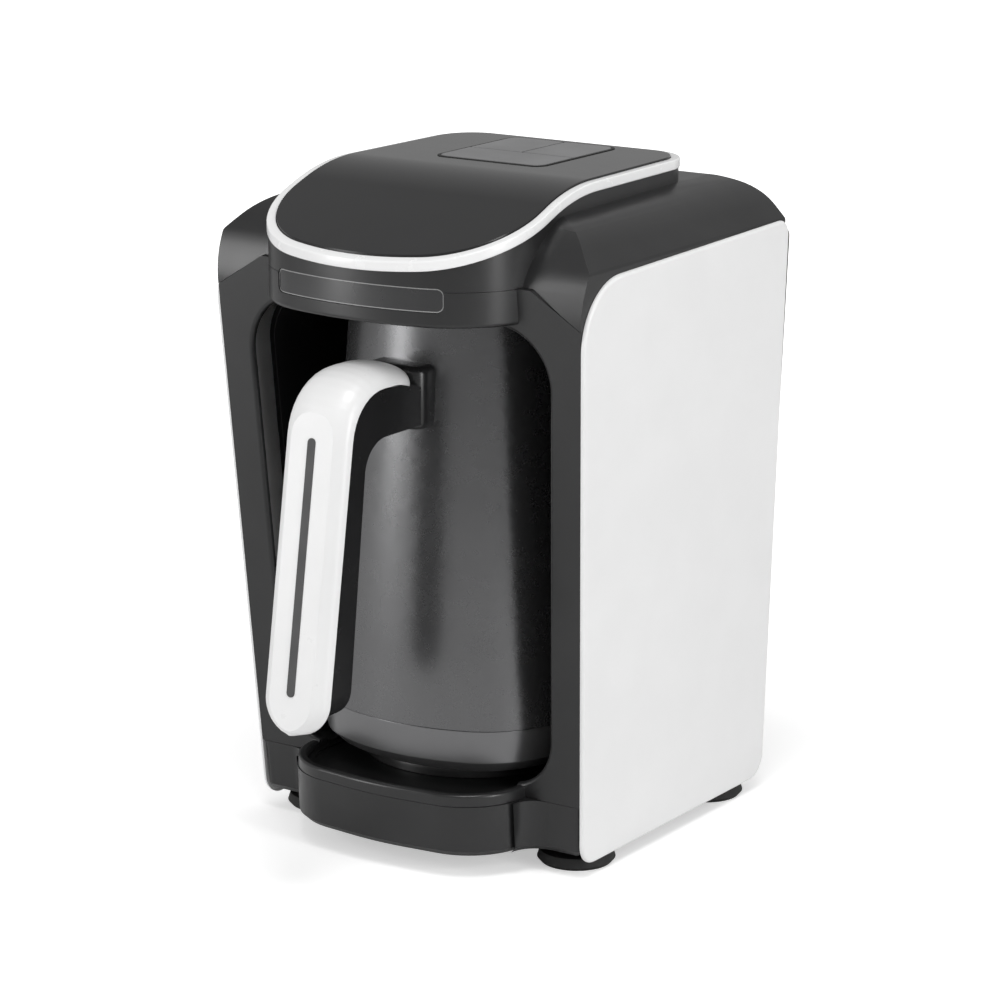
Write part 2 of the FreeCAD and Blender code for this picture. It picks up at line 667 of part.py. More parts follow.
# Top cover: shoulders and neck, with the upper head shell.
def shoulders(label, shrink):
    body = new_body(label, (0, FOOT_Y, 0))
    bottom = mm("frame_side_top") - 1.0
    if shrink:
        bottom -= 6
    top = mm("neck_height") - shrink
    front_low = front_at(bottom) - FOOT_Y + shrink
    front_top = front_at(mm("neck_height")) - FOOT_Y + shrink
    back = mm("panel_depth") - 3.4 - shrink
    outline = [(front_low, bottom), (back, bottom), (back - 0.4, top, 12.0 - shrink),
               (front_top, top, mm("shoulder_round") - shrink)]
    pad(body, "YZ_Plane", [rounded(outline)], 200, 0, False, True)
    low_wide = half_at(bottom) - INNER - shrink
    edge = mm("shoulder_edge") - shrink
    edge_wide = half_at(edge) - INNER - shrink
    side = [(low_wide, bottom - 2), (edge_wide, edge, 2.0), (70.0, top - 4.0, 30.0), (54.0, top, 10.0)]
    pocket(body, "XZ_Plane", [box_outline(-150, 150, 150, 300), rounded(mirrored(side))])
    return body


def lobe(label, shrink):
    body = slab(label, -60, -shrink)
    pocket(body, "XY_Plane", outside(inset(head_corners(), shrink)))
    floor = mm("frame_mid_top") if not shrink else mm("frame_mid_top") - 5
    pocket(body, "YZ_Plane", [box_outline(-100, 100, 200, floor)])
    return body


wall = mm("wall")
outer_cover = combine("Part::MultiFuse", "cover_outer", [shoulders("shoulder_outer", 0), lobe("lobe_outer", 0)])
inner_cover = combine("Part::MultiFuse", "cover_inner",
                      [shoulders("shoulder_inner", wall), lobe("lobe_inner", wall)])
cover_shell = combine("Part::Cut", "cover_shell", [outer_cover, inner_cover])
frame_room = new_body("frame_room", frame_base, (1, 0, 0), mm("front_lean"))
side_wide = half_at(mm("frame_side_top")) - INNER
fall = (mm("frame_mid_top") - mm("frame_side_top")) / (side_wide - 60.0)
beyond = frame_height(mm("frame_side_top")) - 6.0 * fall
room_side = [(side_wide + 6.0, frame_height(mm("frame_bottom"))), (side_wide + 6.0, beyond),
             (60.0, frame_height(mm("frame_mid_top")), 3)]
room = inset(mirrored(room_side), -mm("fit"))
pad(frame_room, "XZ_Plane", [rounded(room)], mm("frame_depth") + mm("fit") + 30.0, 30.0, True)
bw, bl, bf = mm("button_width") / 2, mm("button_length"), mm("button_front")
deck_window = tool(Part.makeBox(2 * bw - 3, bl - 3, 12, Vec(-bw + 1.5, bf + 1.5, 0)), "deck_window",
                   (0, FOOT_Y, mm("deck_back") - 8))


# Head skirt below the seam.
skirt = new_body("skirt_blank", (0, FOOT_Y, 0))
seam_z = mm("frame_mid_top") - mm("fit")
pad(skirt, "XY_Plane", [rounded(head_corners())], seam_z - mm("head_bottom"), mm("head_bottom"))
soften(skirt, lambda pts: all(abs(p.z - mm("head_bottom")) < 0.01 for p in pts) and pts[2].y < 60, 1.6)
pocket(skirt, "XY_Plane", [rounded(inset(head_corners(), wall))], seam_z - mm("head_bottom") - wall, seam_z)
skirt_back = new_body("skirt_back", frame_base, (1, 0, 0), mm("front_lean"))
pad(skirt_back, "XZ_Plane", [box_outline(-100, 150, 100, 260)], 200, -0.0 + 0.05, True)
skirt_front = combine("Part::Cut", "skirt_front", [skirt, skirt_back])


# Blank name plate set into the head's front, across the seam.
def plate_block(label, depth_out, depth_in, grow):
    body = new_body(label, (0, FOOT_Y, 0))
    half, low, tall = mm("plate_half_width"), mm("plate_bottom"), mm("plate_height")
    pad(body, "XY_Plane", [rounded(head_corners(depth_out)), rounded(inset(head_corners(), depth_in))],
        tall + 2 * grow, low - grow)
    band_outline = [(half + grow, low - grow, 2.5), (half + grow, low + tall + grow, 2.5)]
    window = rounded(mirrored(band_outline))
    pocket(body, "XZ_Plane", [box_outline(-150, 150, 150, 300), window])
    pocket(body, "XY_Plane", [box_outline(-150, 10, 150, 250)])
    return body


plate_pocket = plate_block("plate_pocket", 1.0, 1.3, 0.15)
cover_tools = combine("Part::MultiFuse", "cover_tools", [frame_room, deck_window, plate_pocket])
keep(combine("Part::Cut", "top_cover", [cover_shell, cover_tools]))
plate_pocket_low = plate_block("plate_pocket_low", 1.0, 1.3, 0.15)
keep(combine("Part::Cut", "head_skirt", [skirt_front, plate_pocket_low]))
plate = plate_block("name_plate", -0.45, 1.25, 0)
keep(plate)

# Trim ring and lid.
trim = slab("trim_ring", 0.1, mm("trim_height"))
pocket(trim, "XY_Plane", outside(head_corners(0.5)))
pocket(trim, "XY_Plane", [rounded(inset(head_corners(), mm("trim_wall")))])
keep(trim)
lid = slab("lid_panel", 1.2, mm("lid_height"))
pocket(lid, "XY_Plane", outside(inset(head_corners(), mm("trim_wall") + mm("fit"))))
split = bf + mm("button_split")
half_gap = mm("button_gap") / 2
pocket(lid, "XY_Plane", [box_outline(-bw, bf, bw, bf + bl, 5.0)], 20, mm("deck_back") - 5, True)
keep(lid)

# Push buttons: cap, flange under the lid and stem.
TOP = mm("deck_back") + mm("lid_height")


def button(label, x0, y0, x1, y1, radii, stem):
    body = new_body(label, (0, FOOT_Y, 0))
    corners = [(x0, y0, radii[0]), (x1, y0, radii[1]), (x1, y1, radii[2]), (x0, y1, radii[3])]
    pad(body, "XY_Plane", [rounded(corners)], 2.6, TOP - 2.2)
    soften(body, lambda pts: all(abs(p.z - TOP - 0.4) < 0.01 for p in pts), 0.35)
    pad(body, "XY_Plane", [ring(2.2, *stem)], 5.6, TOP - 7.8)
    keep(body)


g = half_gap
button("button_long", -bw + g, bf + g, bw - g, split - g, (4.6, 4.6, 0.8, 0.8), (0, (bf + split) / 2))
rear_mid = (split + bf + bl) / 2
button("button_left", -bw + g, split + g, -g, bf + bl - g, (0.8, 0.8, 0.8, 4.6), (-bw / 2, rear_mid))
button("button_right", g, split + g, bw - g, bf + bl - g, (0.8, 0.8, 4.6, 0.8), (bw / 2, rear_mid))

# Switch frame, key switches and control board under the buttons.
deck_low = mm("deck_back") - wall
carrier = new_body("button_carrier", (0, FOOT_Y, 0))
under_keys = (-bw - 5, bf - 5, bw + 5, bf + bl + 4)
pad(carrier, "XY_Plane", [box_outline(*under_keys, 3)], 2.0, deck_low - 2.1)
stems = ((0, (bf + split) / 2), (-bw / 2, rear_mid), (bw / 2, rear_mid))
pocket(carrier, "XY_Plane", [ring(3.0, *stem) for stem in stems])
legs = [(x, y) for x in (-bw - 1.5, bw + 1.5) for y in (bf - 1.5, bf + bl + 1.5)]
pad(carrier, "XY_Plane", [ring(2.6, *leg) for leg in legs], 6.2, deck_low - 8.2)
keep(carrier)
board = new_body("control_board", (0, FOOT_Y, 0))
board_top = deck_low - 8.3
pad(board, "XY_Plane", [box_outline(*under_keys, 2)], 1.6, board_top - 1.6)
chips = [box_outline(-14, 60, -4, 70), box_outline(6, 82, 12, 92), box_outline(-20, 90, -16, 96)]
pad(board, "XY_Plane", chips, 1.8, board_top - 3.4)
keep(board)
switches = new_body("key_switches", (0, FOOT_Y, 0))
pad(switches, "XY_Plane", [box_outline(x - 3, y - 3, x + 3, y + 3, 0.4) for x, y in stems], 3.2,
    board_top + 0.05)
pad(switches, "XY_Plane", [ring(1.6, *stem) for stem in stems],
    TOP - 7.8 - mm("button_travel") - 0.1 - board_top, board_top + 0.05)
keep(switches)

# Foam sensor in the bay ceiling, buzzer and its board.
ceiling_y = mm("pot_centre")
ceiling_z = mm("bay_top")
sensor = new_body("sensor_lens", (0, FOOT_Y + ceiling_y, 0))
lens_low = ceiling_z + 1.2
revolve(sensor, [rounded([(0, lens_low), (5.5, lens_low, 0.8), (9.2, lens_low + 2.6), (9.2, lens_low + 9.5),
                          (0, lens_low + 9.5)])])
keep(sensor)
sensor_board = new_body("sensor_board", (0, FOOT_Y + ceiling_y, 0))
pad(sensor_board, "XY_Plane", [box_outline(-16, -14, 16, 14, 2)], 1.6, lens_low + 9.6)
pad(sensor_board, "XY_Plane", [ring(3.6, -6, 4), box_outline(3, -8, 11, 6)], 3.0, lens_low + 11.2)
keep(sensor_board)
buzzer = new_body("buzzer", (24, FOOT_Y + 85, 0))
pad(buzzer, "XY_Plane", [ring(7.0)], 6.0, board_top - 1.65 - 6.0)
pocket(buzzer, "XY_Plane", [ring(1.2)], 1.2, board_top - 1.65 - 6.0, True)
keep(buzzer)

# Rear cover with vents and the cord inlet.
rear = new_body("rear_cover", (0, FOOT_Y + mm("panel_depth") - 2.0, 0))
rear_low, rear_high = mm("base_bottom") + 1.0, mm("frame_side_top") + 17.0
rear_side = [(half_at(rear_low) - INNER, rear_low, 4), (half_at(rear_high) - INNER, rear_high, 4)]
pad(rear, "XZ_Plane", [rounded(mirrored(rear_side))], 2.2, 0, True)
vents = [box_outline(-36, z, 36, z + 3.0, 1.4) for z in range(120, 180, 8)]
pocket(rear, "XZ_Plane", vents)
inlet = (44.0, 42.0)
pocket(rear, "XZ_Plane", [ring(5.2, *inlet)])
rear_screws = [(x, z) for x in (-60, 60) for z in (40, 200)]
pocket(rear, "XZ_Plane", [ring(mm("screw_radius") + 0.2, *spot) for spot in rear_screws])
keep(rear)
gland = new_body("cord_gland", (inlet[0], FOOT_Y + mm("panel_depth") - 2.0, inlet[1]), (1, 0, 0), -90)
revolve(gland, [rounded([(3.2, -4.4), (7.0, -4.4), (7.0, -0.05), (5.1, -0.05), (5.1, 2.25), (7.2, 2.25),
                         (7.2, 3.4), (6.4, 4.2), (3.2, 4.2)])])
keep(gland)
rear_fixings = new_body("rear_screws", (0, FOOT_Y + mm("panel_depth") + 0.25, 0))
pad(rear_fixings, "XZ_Plane", [ring(3.2, *spot) for spot in rear_screws], 1.6, 0, True)
pad(rear_fixings, "XZ_Plane", [ring(mm("screw_radius"), *spot) for spot in rear_screws], 9.0)
keep(rear_fixings)

# Base plate, its screws, the feet, and the power parts on the plate.
plate_low = mm("base_bottom") + 1.2
base_plate = new_body("base_plate", (0, FOOT_Y, 0))
plate_outline = inset(base_corners(mm("base_bottom"), 1.4), edge + wall + 2.0)
pad(base_plate, "XY_Plane", [rounded(plate_outline)], 2.0, plate_low)
foot_spots = [(x, y) for x in (-mm("foot_x"), mm("foot_x")) for y in (mm("foot_front"), mm("foot_rear"))]
slots = [box_outline(x, 48, x + 2.6, 84, 1.2) for x in range(-28, 30, 7)]
pocket(base_plate, "XY_Plane", slots)
pocket(base_plate, "XY_Plane", [ring(mm("screw_radius") + 0.2, *spot) for spot in plate_screws])
keep(base_plate)
plate_fixings = new_body("base_screws", (0, FOOT_Y, 0))
pad(plate_fixings, "XY_Plane", [ring(3.2, *spot) for spot in plate_screws], 1.6, plate_low - 1.65)
pad(plate_fixings, "XY_Plane", [ring(mm("screw_radius") - 0.05, *spot) for spot in plate_screws], 8.0,
    plate_low - 0.05)
keep(plate_fixings)


def foot(label, x, y):
    body = new_body(label, (x, FOOT_Y + y, 0))
    radius, tall = mm("foot_radius"), plate_low - 0.05
    revolve(body, [rounded([(0, 1.2), (5.0, 1.2), (6.0, 0), (radius - 1.4, 0),
                            (radius, 1.6), (radius - 1.0, mm("foot_height")),
                            (8.0, mm("foot_height")), (8.0, tall), (0, tall)])])
    keep(body)


for side_name, x in (("left", -mm("foot_x")), ("right", mm("foot_x"))):
    foot("foot_front_" + side_name, x, mm("foot_front"))
    foot("foot_rear_" + side_name, x, mm("foot_rear"))

plate_top = plate_low + 2.0
power_at = (0, FOOT_Y + mm("panel_depth") - 47.7, 0)
power = new_body("power_board", power_at)
pad(power, "XY_Plane", [box_outline(-34, 0, 34, 32, 2)], 1.6, plate_top + 2.0)
pad(power, "XY_Plane", [ring(2.4, x, y) for x in (-30, 30) for y in (4, 28)], 2.0, plate_top + 0.02)
keep(power)
relay = new_body("relay", power_at)
pad(relay, "XY_Plane", [box_outline(-28, 8, -12, 26, 0.6)], 7.0, plate_top + 3.65)
keep(relay)
fuse = new_body("thermal_fuse", power_at)
pad(fuse, "XY_Plane", [box_outline(-4, 10, 2, 24, 0.6)], 5.0, plate_top + 3.65)
keep(fuse)
filter_part = new_body("mains_filter", power_at)
pad(filter_part, "XY_Plane", [box_outline(10, 8, 26, 24, 1.0)], 7.0, plate_top + 3.65)
keep(filter_part)

# Wiring harness from the power board up behind the bay to the control board.
harness = new_body("wiring_harness", (0, FOOT_Y, 0))
path = harness.newObject("Sketcher::SketchObject", "harness_path")
path.AttachmentSupport = ([f for f in harness.Origin.OriginFeatures if f.Role == "YZ_Plane"][0], "")
path.MapMode = "FlatFace"
rise_low = plate_top + 3.7
route = [(HARNESS_Y, rise_low, 0), (HARNESS_Y, 200.0, 12.0), (HARNESS_Y - 10, 228.0, 10.0),
         (HARNESS_Y - 22, board_top - 5.2, 0)]
for edge in rounded(route)[:-1]:
    path.addGeometry(edge, False)
section = sketch(harness, "XY_Plane", [ring(2.6, 0, HARNESS_Y)], rise_low)
pipe = harness.newObject("PartDesign::AdditivePipe", "harness_pipe")
pipe.Profile = section
pipe.Spine = path
doc.recompute()
keep(harness)

# Checks on every object, then one STEP file for each node.
doc.recompute()
for item in doc.Objects:
    if "Invalid" in item.State or "Error" in item.State:
        raise RuntimeError("%s is in state %s" % (item.Label, item.State))
    shape = getattr(item, "Shape", None)
    if shape is not None and not item.isDerivedFrom("Sketcher::SketchObject"):
        if item.isDerivedFrom("App::OriginFeature") or item.TypeId.startswith("App::"):
            continue
        if shape.isNull() or not shape.isValid():
            raise RuntimeError("%s has no valid shape" % item.Label)
os.makedirs("parts", exist_ok=True)
for item in NODES:
    item.Shape.exportStep("parts/%s.step" % item.Label)
    box = item.Shape.BoundBox
    print("%-18s solids %d  x %.1f..%.1f  y %.1f..%.1f  z %.1f..%.1f" % (
        item.Label, len(item.Shape.Solids), box.XMin, box.XMax, box.YMin, box.YMax, box.ZMin, box.ZMax))
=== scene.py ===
import math
import bmesh
import bpy
from mathutils import Matrix, Vector


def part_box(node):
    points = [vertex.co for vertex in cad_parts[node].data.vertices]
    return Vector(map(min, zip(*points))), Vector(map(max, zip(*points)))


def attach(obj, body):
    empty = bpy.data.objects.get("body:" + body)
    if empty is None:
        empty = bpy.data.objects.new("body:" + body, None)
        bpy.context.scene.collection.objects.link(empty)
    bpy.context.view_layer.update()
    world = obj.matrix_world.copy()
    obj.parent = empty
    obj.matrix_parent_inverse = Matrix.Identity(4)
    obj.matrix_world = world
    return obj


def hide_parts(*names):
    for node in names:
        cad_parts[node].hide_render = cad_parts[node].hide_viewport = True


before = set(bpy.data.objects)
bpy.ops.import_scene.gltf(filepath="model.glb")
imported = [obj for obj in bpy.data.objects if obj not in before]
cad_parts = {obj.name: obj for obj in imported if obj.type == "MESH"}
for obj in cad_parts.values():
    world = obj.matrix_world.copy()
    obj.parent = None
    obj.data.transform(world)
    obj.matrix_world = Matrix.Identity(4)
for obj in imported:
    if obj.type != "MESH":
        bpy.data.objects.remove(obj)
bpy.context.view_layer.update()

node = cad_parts
scene = bpy.context.scene

# The camera: the photograph's viewing angle, from the right and a little above. It stands so
# that the foot of the right side panel falls on its own place in the picture.
panel_foot_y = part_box("base_housing")[1].y - 0.1297
turn, rise = math.radians(34.09), math.radians(14.43)
focal_px, depth = 3690.0, 1.3637
picture_px, sensor_mm = 1000, 36.0
back = Vector((math.sin(turn) * math.cos(rise), -math.cos(turn) * math.cos(rise), math.sin(rise)))
right = Vector((math.cos(turn), math.sin(turn), 0.0))
up = back.cross(right)
panel_foot = Vector((0.0741, panel_foot_y, 0.005))
panel_foot_px = (583.05, 868.7)
off_x = (panel_foot_px[0] - picture_px / 2) / focal_px * depth
off_y = (panel_foot_px[1] - picture_px / 2) / focal_px * depth
place = panel_foot + back * depth - right * off_x + up * off_y
camera = bpy.data.objects.new("camera", bpy.data.cameras.new("camera"))
scene.collection.objects.link(camera)
camera.matrix_world = Matrix.Translation(place) @ Matrix((right, up, back)).transposed().to_4x4()
camera.data.sensor_width = sensor_mm
camera.data.lens = focal_px * sensor_mm / picture_px
camera.data.clip_start = 0.01
scene.camera = camera

# The studio: a white floor that keeps a soft shadow, a white surround, and large soft lamps
# to the right, to the left front and overhead.
scene.view_settings.view_transform = "Standard"


def soft_lamp(name, spot, aim, size, power):
    lamp = bpy.data.objects.new(name, bpy.data.lights.new(name, "AREA"))
    lamp.data.shape = "RECTANGLE"
    lamp.data.size, lamp.data.size_y = size
    lamp.data.energy = power
    scene.collection.objects.link(lamp)
    lamp.location = spot
    lamp.rotation_euler = (Vector(aim) - Vector(spot)).to_track_quat("-Z", "Y").to_euler()


soft_lamp("right_lamp", (1.4, -0.30, 0.52), (0.05, 0.0, 0.14), (0.30, 1.0), 8.5)
soft_lamp("left_strip", (-0.80, -1.00, 0.46), (0.0, 0.0, 0.14), (0.26, 0.90), 5.5)
soft_lamp("top_lamp", (0.30, -0.35, 1.4), (0.0, 0.0, 0.2), (0.5, 0.5), 6.5)

world = bpy.data.worlds.new("surround")
scene.world = world
world.use_nodes = True
nodes, links = world.node_tree.nodes, world.node_tree.links
nodes.clear()
path = nodes.new("ShaderNodeLightPath")
seen = nodes.new("ShaderNodeMath")
seen.operation = "MAXIMUM"
links.new(path.outputs["Is Camera Ray"], seen.inputs[0])
links.new(path.outputs["Is Transmission Ray"], seen.inputs[1])
white = nodes.new("ShaderNodeBackground")
white.inputs["Color"].default_value = (1, 1, 1, 1)
white.inputs["Strength"].default_value = 1.0
room = nodes.new("ShaderNodeBackground")
room.inputs["Color"].default_value = (1, 1, 1, 1)
room.inputs["Strength"].default_value = 0.42
mix = nodes.new("ShaderNodeMixShader")
out = nodes.new("ShaderNodeOutputWorld")
links.new(seen.outputs[0], mix.inputs[0])
links.new(room.outputs[0], mix.inputs[1])
links.new(white.outputs[0], mix.inputs[2])
links.new(mix.outputs[0], out.inputs["Surface"])

floor_mesh = bmesh.new()
bmesh.ops.create_grid(floor_mesh, x_segments=1, y_segments=1, size=4.0)
floor_data = bpy.data.meshes.new("floor")
floor_mesh.to_mesh(floor_data)
floor_mesh.free()
floor = bpy.data.objects.new("floor", floor_data)
scene.collection.objects.link(floor)
floor_look = bpy.data.materials.new("floor_paper")
floor_look.use_nodes = True
nodes, links = floor_look.node_tree.nodes, floor_look.node_tree.links
nodes.clear()
paper = nodes.new("ShaderNodeBsdfDiffuse")
paper.inputs["Color"].default_value = (0.86, 0.86, 0.86, 1)
glow = nodes.new("ShaderNodeEmission")
glow.inputs["Color"].default_value = (1, 1, 1, 1)
spot = nodes.new("ShaderNodeTexCoord")
away = nodes.new("ShaderNodeVectorMath")
away.operation = "LENGTH"
links.new(spot.outputs["Object"], away.inputs[0])
rising = nodes.new("ShaderNodeMapRange")
rising.inputs["From Min"].default_value = 0.18
rising.inputs["From Max"].default_value = 0.75
rising.inputs["To Min"].default_value = 0.45
rising.inputs["To Max"].default_value = 1.0
links.new(away.outputs["Value"], rising.inputs["Value"])
links.new(rising.outputs["Result"], glow.inputs["Strength"])
both = nodes.new("ShaderNodeAddShader")
path = nodes.new("ShaderNodeLightPath")
pick = nodes.new("ShaderNodeMixShader")
out = nodes.new("ShaderNodeOutputMaterial")
links.new(paper.outputs[0], both.inputs[0])
links.new(glow.outputs[0], both.inputs[1])
links.new(path.outputs["Is Camera Ray"], pick.inputs[0])
links.new(paper.outputs[0], pick.inputs[1])
links.new(both.outputs[0], pick.inputs[2])
links.new(pick.outputs[0], out.inputs["Surface"])
floor_data.materials.append(floor_look)


# Dark mouldings: injection-moulded plastic with a fine satin grain. The front frame, base
# housing, top cover, head skirt, bay liner and rear cover are all of it.
def moulded(name, colour, rough, grain=1500.0, depth_mm=0.010, spread=0.05, coat=0.0, shade=0.12):
    """A moulded or coated finish: a cloudy tint, a roughness in smears and a fine raised grain."""
    look = bpy.data.materials.new(name)
    look.use_nodes = True
    nodes, links = look.node_tree.nodes, look.node_tree.links
    skin = nodes["Principled BSDF"]
    where = nodes.new("ShaderNodeTexCoord")
    cloud = nodes.new("ShaderNodeTexNoise")
    cloud.inputs["Scale"].default_value = 34.0
    cloud.inputs["Detail"].default_value = 5.0
    links.new(where.outputs["Object"], cloud.inputs["Vector"])
    ramp = nodes.new("ShaderNodeValToRGB")
    low = [c * (1 - shade) for c in colour]
    high = [min(c * (1 + shade), 1.0) for c in colour]
    ramp.color_ramp.elements[0].position = 0.35
    ramp.color_ramp.elements[0].color = (*low, 1)
    ramp.color_ramp.elements[1].position = 0.65
    ramp.color_ramp.elements[1].color = (*high, 1)
    links.new(cloud.outputs["Fac"], ramp.inputs["Fac"])
    links.new(ramp.outputs["Color"], skin.inputs["Base Color"])
    smear = nodes.new("ShaderNodeTexNoise")
    smear.inputs["Scale"].default_value = 90.0
    smear.inputs["Detail"].default_value = 6.0
    smear.inputs["Roughness"].default_value = 0.7
    links.new(where.outputs["Object"], smear.inputs["Vector"])
    level = nodes.new("ShaderNodeMapRange")
    level.inputs["From Min"].default_value = 0.3
    level.inputs["From Max"].default_value = 0.7
    level.inputs["To Min"].default_value = rough - spread
    level.inputs["To Max"].default_value = rough + spread
    links.new(smear.outputs["Fac"], level.inputs["Value"])
    links.new(level.outputs["Result"], skin.inputs["Roughness"])
    texture = nodes.new("ShaderNodeTexNoise")
    texture.inputs["Scale"].default_value = grain
    texture.inputs["Detail"].default_value = 2.0
    links.new(where.outputs["Object"], texture.inputs["Vector"])
    bump = nodes.new("ShaderNodeBump")
    bump.inputs["Strength"].default_value = 0.35
    bump.inputs["Distance"].default_value = depth_mm / 1000
    links.new(texture.outputs["Fac"], bump.inputs["Height"])
    links.new(bump.outputs["Normal"], skin.inputs["Normal"])
    if coat:
        skin.inputs["Coat Weight"].default_value = coat
        skin.inputs["Coat Roughness"].default_value = 0.05
    return look


def dress(name, look, edge_mm=0.3):
    """Gives a CAD node its finish, welds its triangles and rounds its sharp edges."""
    piece = node[name]
    piece.data.materials.clear()
    piece.data.materials.append(look)
    for face in piece.data.polygons:
        face.use_smooth = True
        face.material_index = 0
    weld = piece.modifiers.new("weld", "WELD")
    weld.merge_threshold = 0.00001
    if edge_mm:
        bevel = piece.modifiers.new("edges", "BEVEL")
        bevel.limit_method = "ANGLE"
        bevel.angle_limit = math.radians(38)
        bevel.width = edge_mm / 1000
        bevel.segments = 2
        bevel.harden_normals = True
    weighted = piece.modifiers.new("shading", "WEIGHTED_NORMAL")
    weighted.keep_sharp = True


dark_shell = moulded("dark_shell", (0.017, 0.017, 0.0175), 0.29, 1500.0, 0.005, 0.015)
for name in ("front_frame", "base_housing", "top_cover", "head_skirt", "rear_cover", "base_plate"):
    dress(name, dark_shell)
# A darker copy of the dark moulding for the parts deep in the bay and the pot socket: painted shade for
# the recess.
bay_painted_shade = moulded("bay_painted_shade", (0.007, 0.007, 0.0073), 0.36)
for name in ("bay_liner", "tray_floor", "power_pedestal", "contact_tower"):
    dress(name, bay_painted_shade)

# White side panels: two thick injection-moulded plates of satin white plastic with a rounded
# rim. Each covers one side of the housing, from the base up to the shoulder.
white_panel = moulded("white_panel", (0.80, 0.80, 0.80), 0.42, 900.0, 0.006, 0.04, 0.0, 0.012)
for name in ("side_panel_left", "side_panel_right"):
    dress(name, white_panel)

# Lid and push buttons: a gloss black moulded panel set in the trim ring, with one long key and
# two short ones let into it. Each key stands on its own switch, which springs it back. A thin
# near-black ring round the three is painted shade for the gap round the keys.
lid_gloss = moulded("lid_gloss", (0.006, 0.006, 0.0065), 0.14, 260.0, 0.001, 0.02, 0.0)
key_gloss = moulded("key_gloss", (0.17, 0.17, 0.173), 0.34, 260.0, 0.002, 0.02)
dress("lid_panel", lid_gloss, 0.5)
for name in ("button_long", "button_left", "button_right"):
    dress(name, key_gloss, 0.25)
# Near-black ring round the key group: painted shade for the gap between the keys and the lid.
gap_shade_black = moulded("gap_shade_black", (0.004, 0.004, 0.004), 0.55)
long_low, long_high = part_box("button_long")
rear_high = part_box("button_right")[1]
lid_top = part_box("lid_panel")[1].z
shade_ring_reach, shade_ring_width, shade_ring_round = 0.0012, 0.0014, 0.0052
shade_ring_thick, shade_ring_sunk = 0.0005, 0.0003
shade_ring_wide = 2 * long_high.x + 2 * shade_ring_reach
shade_ring_long = rear_high.y - long_low.y + 2 * shade_ring_reach
shade_ring_place = (0, (rear_high.y + long_low.y) / 2, lid_top - shade_ring_sunk)
shade_ring = bmesh.new()
bmesh.ops.create_grid(shade_ring, x_segments=1, y_segments=1, size=0.5)
bmesh.ops.scale(shade_ring, verts=shade_ring.verts, vec=(shade_ring_wide, shade_ring_long, 1))
bmesh.ops.bevel(shade_ring, geom=list(shade_ring.verts), affect="VERTICES", offset=shade_ring_round, segments=8,
                profile=0.5, material=-1)
bmesh.ops.inset_region(shade_ring, faces=list(shade_ring.faces), thickness=shade_ring_width, use_boundary=True,
                       use_even_offset=True)
middle = max(shade_ring.faces, key=lambda f: f.calc_area())
bmesh.ops.delete(shade_ring, geom=[middle], context="FACES")
band = bmesh.ops.extrude_face_region(shade_ring, geom=list(shade_ring.faces))["geom"]
raised = [g for g in band if isinstance(g, bmesh.types.BMVert)]
bmesh.ops.translate(shade_ring, verts=raised, vec=(0, 0, shade_ring_thick))
bmesh.ops.translate(shade_ring, verts=shade_ring.verts, vec=shade_ring_place)
bmesh.ops.recalc_face_normals(shade_ring, faces=list(shade_ring.faces))
shade_ring_data = bpy.data.meshes.new("key_gap_shade")
shade_ring.to_mesh(shade_ring_data)
shade_ring.free()
key_gap_shade = bpy.data.objects.new("key_gap_shade", shade_ring_data)
scene.collection.objects.link(key_gap_shade)
shade_ring_data.materials.append(gap_shade_black)
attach(key_gap_shade, "housing")

# Trim ring and name plate: the ring is a light satin moulding that frames the lid. The plate is
# a gloss dark strip let into the front of the head skirt, with a fine light line along its edge.
trim_bright = moulded("trim_bright", (0.86, 0.86, 0.86), 0.26, 1200.0, 0.003, 0.03, 0.3, 0.01)
dress("trim_ring", trim_bright, 0.5)
plate_gloss = moulded("plate_gloss", (0.020, 0.020, 0.021), 0.18, 400.0, 0.002, 0.02, 0.4)
plate_low, plate_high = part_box("name_plate")
plate_round = 0.0025
line_inner, line_outer = 0.00042, 0.00030
nodes, links = plate_gloss.node_tree.nodes, plate_gloss.node_tree.links
where = nodes.new("ShaderNodeTexCoord")
split = nodes.new("ShaderNodeSeparateXYZ")
links.new(where.outputs["Object"], split.inputs[0])
reach = []
for axis, centre, half in (("X", 0.0, plate_high.x),
                           ("Z", (plate_low.z + plate_high.z) / 2, (plate_high.z - plate_low.z) / 2)):
    steps = [("SUBTRACT", centre), ("ABSOLUTE", 0.0), ("SUBTRACT", half - plate_round), ("MAXIMUM", 0.0)]
    value = split.outputs[axis]
    for operation, number in steps:
        step = nodes.new("ShaderNodeMath")
        step.operation = operation
        step.inputs[1].default_value = number
        links.new(value, step.inputs[0])
        value = step.outputs[0]
    reach.append(value)
corner = nodes.new("ShaderNodeCombineXYZ")
links.new(reach[0], corner.inputs["X"])
links.new(reach[1], corner.inputs["Y"])
size = nodes.new("ShaderNodeVectorMath")
size.operation = "LENGTH"
links.new(corner.outputs[0], size.inputs[0])
line = nodes.new("ShaderNodeMapRange")
line.inputs["From Min"].default_value = plate_round - line_inner
line.inputs["From Max"].default_value = plate_round - line_outer
links.new(size.outputs["Value"], line.inputs["Value"])
tint = nodes.new("ShaderNodeMix")
tint.data_type = "RGBA"
skin = nodes["Principled BSDF"]
links.new(line.outputs["Result"], tint.inputs["Factor"])
links.new(skin.inputs["Base Color"].links[0].from_socket, tint.inputs["A"])
tint.inputs["B"].default_value = (0.32, 0.32, 0.32, 1)
links.new(tint.outputs["Result"], skin.inputs["Base Color"])
dress("name_plate", plate_gloss, 0.3)

